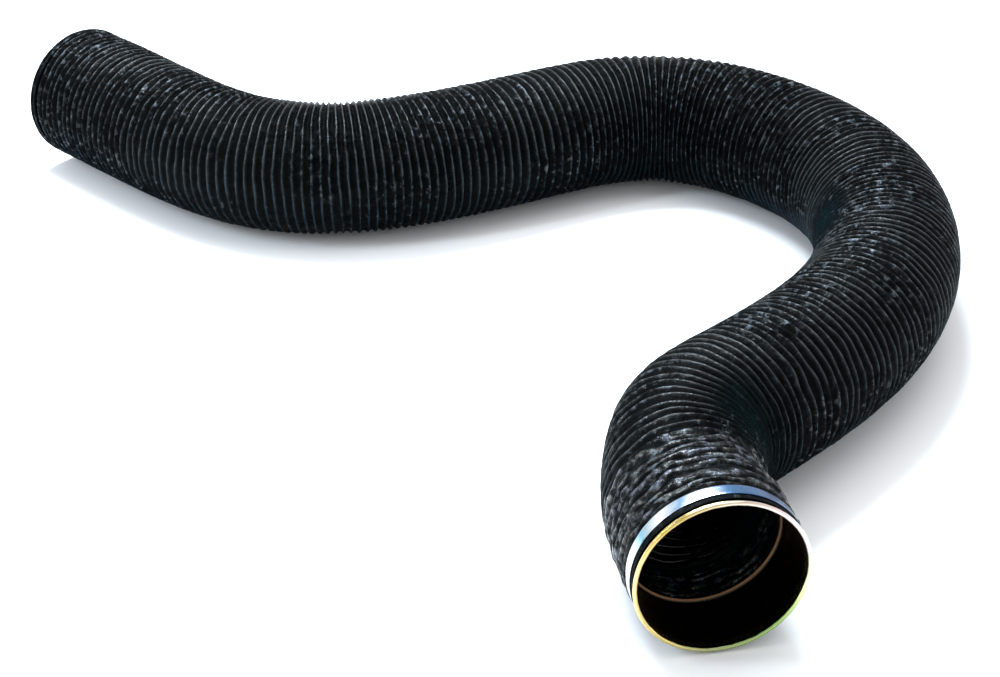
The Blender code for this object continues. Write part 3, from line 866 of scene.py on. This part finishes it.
def length_span(number):
    """A length runs from the middle of one section to the middle of the next."""
    first = HEM_LENGTH - HEM_LAP if number == 0 else (number - 0.5) * SECTION_LENGTH
    last = SKIN_END if number == SECTION_COUNT else (number + 0.5) * SECTION_LENGTH
    return first, last


def make_hose():
    """The skin and the wire in lengths, from the far end to the collar."""
    for number in range(SECTION_COUNT + 1):
        first, last = length_span(number)
        skin, first_ring, last_ring = make_skin(number, first, last)
        finish_piece(skin, FABRIC)
        hang(skin, number)
        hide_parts(f"skin_{number + 1:02d}" if number < SECTION_COUNT else "near_cuff")
        coil_first = COIL_START if number == 0 else first
        coil_last = RIBS_END if number == SECTION_COUNT else last
        coil = make_coil(number, coil_first, coil_last)
        finish_piece(coil, WIRE)
        hang(coil, number)
        if number < SECTION_COUNT:
            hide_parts(f"wire_{number + 1:02d}")


make_hose()


def hem_section():
    """The hem's outline: distance from the edge, and radius, round its bead and back along the inside."""
    bead = (HEM_OUTER - HEM_INNER) / 2
    outline = [(bead - bead * math.cos(a), HEM_OUTER - bead + bead * math.sin(a))
               for a in np.linspace(-math.pi / 2, math.pi / 2, 15)[1:]]
    outline += [(place, HEM_OUTER - sunk) for place, sunk in HEM_FOLD]
    return outline + [(0.0046, HEM_INNER + 0.0008), (0.0030, HEM_INNER)]


def make_hem():
    """The far edge: the skin folded back over the last turn of wire and stitched down, in a U section."""
    outline = hem_section()
    along, radius = np.array(outline)[:, :, None].transpose(1, 0, 2)
    angle = (2 * math.pi * np.arange(HEM_STEPS) / HEM_STEPS)[None, :]
    stitch = np.cos(angle * STITCH_COUNT) * np.exp(-((along - STITCH_PLACE) / STITCH_REACH) ** 2)
    ripple = 0.0002 * noise(HEM_RIPPLE, along + 0.1, angle, cell=0.004)
    outside = radius > HEM_OUTER - 0.0014
    lift = outside * (STITCH_HEIGHT * stitch + ripple)
    points = duct_points(along, angle, radius + lift)
    last_row = (len(outline) - 1) * HEM_STEPS
    faces = np.concatenate([grid_quads(len(outline), HEM_STEPS),
                            cap_quads(last_row, 0, HEM_STEPS, at_end=True)])
    hem = make_object("stitched_hem", points, faces.tolist())
    add_attribute(hem, "rest", points.reshape(-1, 3))
    add_attribute(hem, "crest", np.clip((radius + lift - HEM_OUTER + 0.0012) / 0.0012, 0, 0.7).ravel())
    finish_piece(hem, FABRIC)
    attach(hem, body_name(1))
    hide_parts("far_hem")


make_hem()


# ---------------------------------------------------------------- collar and clamp

def collar_frame():
    """Local +Z runs out of the collar, and local +X points down."""
    end = duct_points(DUCT_LENGTH, 0.0, 0.0)
    turn = Matrix.Rotation(float(heading(DUCT_LENGTH)), 4, "Z") @ Matrix.Rotation(math.pi / 2, 4, "Y")
    return Matrix.Translation(Vector(end)) @ turn


COLLAR_FRAME = collar_frame()


def arc(middle_radius, middle_height, reach, first, last, steps):
    """Points of an arc in a turned profile, with angles in degrees from straight out."""
    sweep = np.radians(np.linspace(first, last, steps))
    return [(middle_radius + reach * math.cos(a), middle_height + reach * math.sin(a)) for a in sweep]


def turned(name, profile, roughen=None):
    """A closed ring: a closed profile of (radius, height) points turned about local Z."""
    profile = np.array(profile)
    angle = (2 * math.pi * np.arange(COLLAR_STEPS) / COLLAR_STEPS)[None, :]
    radius = profile[:, 0][:, None] + 0 * angle
    height = profile[:, 1][:, None] + 0 * angle
    if roughen:
        radius = roughen(radius, height, angle)
    points = np.stack([radius * np.cos(angle), radius * np.sin(angle), height], axis=-1)
    last_row = (len(profile) - 1) * COLLAR_STEPS
    faces = np.concatenate([grid_quads(len(profile), COLLAR_STEPS),
                            cap_quads(last_row, 0, COLLAR_STEPS, at_end=True)])
    obj = make_object(name, points, faces.tolist())
    add_bearing(obj, points)
    obj.data.transform(COLLAR_FRAME)
    return obj


def add_bearing(obj, points):
    """Which way each point lies from the collar's axis, for the band's painted reflections and the collar's
    film colours and painted reflections.
    """
    points = points.reshape(-1, 3)
    flat = points * (1.0, 1.0, 0.0)
    add_attribute(obj, "bearing", flat / np.linalg.norm(flat, axis=1, keepdims=True))


def collar_profile():
    """The collar's wall in section, with its rolled rim, stop ridge and inturned back edge."""
    outer = COLLAR_RADIUS
    inner = outer - COLLAR_WALL
    bead = RIM_THICKNESS / 2 - 0.0001
    back = -COLLAR_LENGTH
    ridge = -RIDGE_MIDDLE
    profile = arc(RIM_OUTER - bead, -bead - 0.0001, bead, 175, -95, 26)
    profile += [(outer, -RIM_THICKNESS - 0.0001), (outer, ridge + RIDGE_FOOT)]
    profile += arc(outer + 0.0001, ridge, RIDGE_HEIGHT, 75, -75, 9)
    profile += [(outer, ridge - RIDGE_FOOT)]
    profile += [(outer, z) for z in np.linspace(-0.016, back + INTURN_START, 8)]
    profile += arc(outer - INTURN_DEPTH, back + INTURN_DEPTH, INTURN_DEPTH, 0, -90, 10)
    profile += [(inner - INTURN_DEPTH, back + 0.0002), (inner - INTURN_DEPTH, back + 0.0006)]
    profile += arc(inner - INTURN_DEPTH, back + 0.0040, INTURN_INNER_BEND, -85, 0, 9)
    profile += [(inner, z) for z in np.linspace(back + INTURN_START, -0.0035, 14)]
    return np.array(profile)[::-1]


def knocked_rim(radius, height, angle):
    """The radius with small knocks in the rolled rim."""
    at_rim = ease((height + 0.006) / 0.005)
    return radius + RIM_KNOCK * noise(RIM_KNOCKS, height + 0.05, angle, cell=0.0016) * at_rim


def make_collar():
    """The sheet-steel spigot. Its "inside" value is 1 on the inner wall and 2 on the back edge."""
    profile = collar_profile()
    inner = COLLAR_RADIUS - COLLAR_WALL
    depth = -profile[:, 1]
    # painted shade: this value grows with depth inside the collar and darkens the inner wall's colour
    inside = np.where(profile[:, 0] < inner + 0.0001, ease((depth - 0.0025) / 0.0075), 0.0)
    edge = (depth > COLLAR_LENGTH - 0.0012) & (profile[:, 0] < inner - 0.0010)
    inside = np.where(edge, 2.0, inside)
    collar = turned("collar_shell", profile, knocked_rim)
    add_attribute(collar, "inside", np.repeat(inside, COLLAR_STEPS))
    finish_piece(collar, ZINC)
    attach(collar, body_name(SECTION_COUNT))
    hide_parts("collar")


def make_band():
    """The clamp's loop, with its edges rounded over."""
    low = BAND_SEAT_RADIUS + GAP
    high = low + BAND_THICKNESS
    half = BAND_WIDTH / 2
    rounding = BAND_THICKNESS / 2
    middle = low + rounding
    corner = np.radians((30, 60, 90, 120, 150))
    profile = [(high, z) for z in np.linspace(half - rounding, rounding - half, 7)]
    profile += [(middle + rounding * math.cos(a), -half + rounding - rounding * math.sin(a)) for a in corner]
    profile += [(low, z) for z in np.linspace(rounding - half, half - rounding, 7)]
    profile += [(middle - rounding * math.cos(a), half - rounding + rounding * math.sin(a)) for a in corner]
    band = turned("band_loop", [(radius, z - BAND_MIDDLE) for radius, z in profile][::-1])
    finish_piece(band, BAND_STEEL)
    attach(band, body_name(SECTION_COUNT))
    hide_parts("clamp_band")


def tail_grid():
    """Angle and height of each point of the tail's flat grid, and the grid's cells that aren't slots."""
    step = math.degrees(WORM_PITCH / TAIL_OUTER)
    slots = int(TAIL_SWEEP / step)
    half = BAND_WIDTH / 2 - GAP
    lines = [slot * step + step * share for slot in range(slots) for share in SLOT_LINES]
    lines = np.radians(np.array([*lines, TAIL_SWEEP]))
    angle, height = np.meshgrid(lines, half * np.array(TAIL_LINES), indexing="ij")
    from_tip = (lines[-1] - angle) * TAIL_OUTER
    height = height * (1 - 0.45 * np.clip(1 - from_tip / TAIL_TIP, 0, 1) ** 2)
    from_ends = np.minimum(angle, lines[-1] - angle)
    slant = SLOT_SLANT * height / half * math.radians(step) * ease(from_ends / 0.05)
    kept = np.ones((len(lines) - 1, len(TAIL_LINES) - 1), bool)
    for slot in range(1, slots - 1):
        kept[len(SLOT_LINES) * slot + SLOT_CELL, SLOT_CELLS_ACROSS] = False
    return angle + slant - math.radians(TAIL_LEAD), height, kept


def pierced_faces(kept):
    """Faces of a sheet over and under the kept cells of a grid, with a wall along every edge of them."""
    rows, cells = kept.shape
    columns = cells + 1
    below = (rows + 1) * columns
    framed = np.pad(kept, 1)
    faces = []
    for r, c in zip(*np.nonzero(kept)):
        a = int(r) * columns + int(c)
        b, d, e = a + 1, a + columns, a + columns + 1
        faces.append((a, d, e, b))
        faces.append((a + below, b + below, e + below, d + below))
        neighbours = (((d, a), framed[r + 1, c]), ((b, e), framed[r + 1, c + 2]),
                      ((a, b), framed[r, c + 1]), ((e, d), framed[r + 2, c + 1]))
        for (start, end), joined in neighbours:
            if not joined:
                faces.append((start, end, end + below, start + below))
    return faces


def make_tail():
    """The band's free end: a strip with a slot punched for each turn of the worm, and a rounded tip."""
    angle, height, kept = tail_grid()
    points = [np.stack([reach * np.cos(angle), reach * np.sin(angle), height - BAND_MIDDLE], axis=-1)
              for reach in (TAIL_OUTER, TAIL_INNER)]
    points = np.array(points).reshape(-1, 3)
    tail = clamp_piece("slotted_tail", points, pierced_faces(kept), BAND_STEEL, "band_tail")
    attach(tail, "band_tail")


def clamp_piece(name, points, faces, material, replaced):
    """A piece made with local +X through the clamp's screw, swung to the screw's place on the collar."""
    points = np.asarray(points, dtype=float)
    obj = make_object(name, points, faces)
    swing = Matrix.Rotation(math.radians(CLAMP_ANGLE), 4, "Z")
    obj.data.transform(swing)
    swung = points @ np.array(swing.to_3x3()).T
    add_bearing(obj, swung)
    obj.data.transform(COLLAR_FRAME)
    obj.data.set_sharp_from_angle(angle=math.radians(35))
    finish_piece(obj, material)
    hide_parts(replaced)
    return obj


def capped_tube(rings):
    """Faces of a tube over a row of rings, closed at both ends."""
    count = len(rings[0])
    faces = grid_quads(len(rings), count).tolist()
    faces.append(list(range(count))[::-1])
    faces.append(list(range((len(rings) - 1) * count, len(rings) * count)))
    return faces


def housing_section():
    """The saddle's outline: outwards from the collar's axis, and along it from the band's middle."""
    foot = HOUSING_WIDTH / 2
    base = BAND_SEAT_RADIUS + GAP + 0.0005
    inner = ARCH_RADIUS
    outer = ARCH_RADIUS + HOUSING_WALL
    flank = [(base, foot), (base + 0.0026, foot), (base + 0.0034, foot - 0.0008),
             (base + 0.0036, outer + 0.0007)]
    lining = [(base, 0.0064), (base + 0.0024, 0.0064), (base + 0.0028, inner + 0.0006)]
    over = arc(SCREW_CENTRE, 0.0, outer, 102, -102, 18)
    under = arc(SCREW_CENTRE, 0.0, inner, -102, 102, 18)
    flank_below = [(out, -side) for out, side in flank[::-1]]
    lining_below = [(out, -side) for out, side in lining]
    return np.array(flank + over + flank_below + lining_below + under + lining[::-1])


def make_housing():
    """The worm's housing: a pressed saddle that arches over the worm, with a foot each side of the band."""
    section = housing_section()
    on_top = section[:, 0] - SCREW_CENTRE > 0.9 * (ARCH_RADIUS + HOUSING_WALL)
    rings = [np.stack([section[:, 0] + swell * on_top, np.full(len(section), share * HOUSING_LENGTH / 2),
                       section[:, 1] - BAND_MIDDLE], axis=-1) for share, swell in HOUSING_LINES]
    housing = clamp_piece("pressed_housing", np.concatenate(rings), capped_tube(rings), STEEL, "worm_housing")
    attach(housing, body_name(SECTION_COUNT))


def worm_thread(spin, place, half):
    """Radius of the worm round one ring: the thread, run out at both ends."""
    turns = place / WORM_PITCH - spin / (2 * math.pi)
    thread = np.clip(1.9 * np.abs(2 * (turns % 1) - 1) - 0.5, 0, 1)
    run_out = float(ease((half - abs(place)) / 0.0016))
    return SCREW_ROOT_RADIUS + (SCREW_RADIUS - SCREW_ROOT_RADIUS) * thread * run_out


def make_screw():
    """The worm: a threaded shank with a chamfered and slotted hexagon head, in one piece."""
    half = HOUSING_LENGTH / 2
    spin = 2 * math.pi * np.arange(SCREW_STEPS) / SCREW_STEPS
    flats = HEAD_HALF_FLATS / np.cos((spin + math.pi / 6) % (math.pi / 3) - math.pi / 6)
    head = half + 0.0006
    top = head + HEAD_HEIGHT
    stations = [(0.0004, -half - 0.0004), (0.0018, -half - 0.0004)]
    stations += [(worm_thread(spin, place, half), place)
                 for place in np.arange(-half, half + 0.0001, WORM_PITCH / 12)]
    stations += [(SCREW_NECK_RADIUS, head - 0.0001), (np.minimum(flats, HEAD_ROUNDING), head),
                 (flats, head + 0.0004), (flats, top - 0.0008), (np.minimum(flats, 0.0041), top)]
    for reach in (0.0034, 0.0026, 0.0018, 0.0010, 0.0004):
        in_slot = np.abs(reach * np.cos(spin)) < DRIVE_SLOT_WIDTH / 2
        stations.append((reach, top - DRIVE_SLOT_DEPTH * in_slot))
    rings = [np.stack([SCREW_CENTRE + reach * np.cos(spin), place + 0 * spin,
                       -BAND_MIDDLE - reach * np.sin(spin)], axis=-1) for reach, place in stations]
    screw = clamp_piece("worm_and_head", np.concatenate(rings), capped_tube(rings), STEEL, "worm_screw")
    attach(screw, "worm_screw")


make_collar()
make_band()
make_tail()
make_housing()
make_screw()


# ---------------------------------------------------------------- studio

def make_floor():
    """A plane far wider than the view."""
    bpy.ops.mesh.primitive_plane_add(size=FLOOR_SIZE, location=(0.0, 0.0, 0.0))
    floor = bpy.context.object
    floor.name = "studio_floor"
    floor.data.materials.append(floor_material())


def make_world():
    """An even pale studio, a little dimmer overhead."""
    world = bpy.data.worlds.new("studio_world")
    bpy.context.scene.world = world
    world.use_nodes = True
    tree = world.node_tree
    direction = node(tree, "ShaderNodeTexCoord").outputs["Generated"]
    height = node(tree, "ShaderNodeSeparateXYZ", {"Vector": direction}).outputs["Z"]
    colour = ramp(tree, height, (0.0, (1.0, 1.0, 1.0)), (0.3, (0.86, 0.88, 0.90)), (1.0, (0.50, 0.52, 0.55)))
    background = tree.nodes["Background"]
    tree.links.new(colour, background.inputs["Color"])
    background.inputs["Strength"].default_value = WORLD_STRENGTH


def add_softbox(name, location, target, width, height, power, colour):
    """A rectangular light turned towards a target."""
    light = bpy.data.lights.new(name, "AREA")
    light.shape = "RECTANGLE"
    light.size = width
    light.size_y = height
    light.energy = power
    light.color = colour
    obj = bpy.data.objects.new(name, light)
    bpy.context.scene.collection.objects.link(obj)
    obj.location = location
    obj.rotation_euler = (Vector(target) - Vector(location)).to_track_quat("-Z", "Y").to_euler()


def make_studio():
    """Floor, surroundings and lights."""
    make_floor()
    make_world()
    for softbox in SOFTBOXES:
        add_softbox(*softbox)


def make_camera():
    """The photograph's point of view."""
    data = bpy.data.cameras.new("camera")
    data.lens = CAMERA_LENS
    data.sensor_width = 36.0
    camera = bpy.data.objects.new("camera", data)
    bpy.context.scene.collection.objects.link(camera)
    camera.location = CAMERA_PLACE
    camera.rotation_euler = (math.radians(CAMERA_TILT), 0.0, 0.0)
    bpy.context.scene.camera = camera


make_studio()
make_camera()
bpy.context.scene.view_settings.view_transform = "Standard"
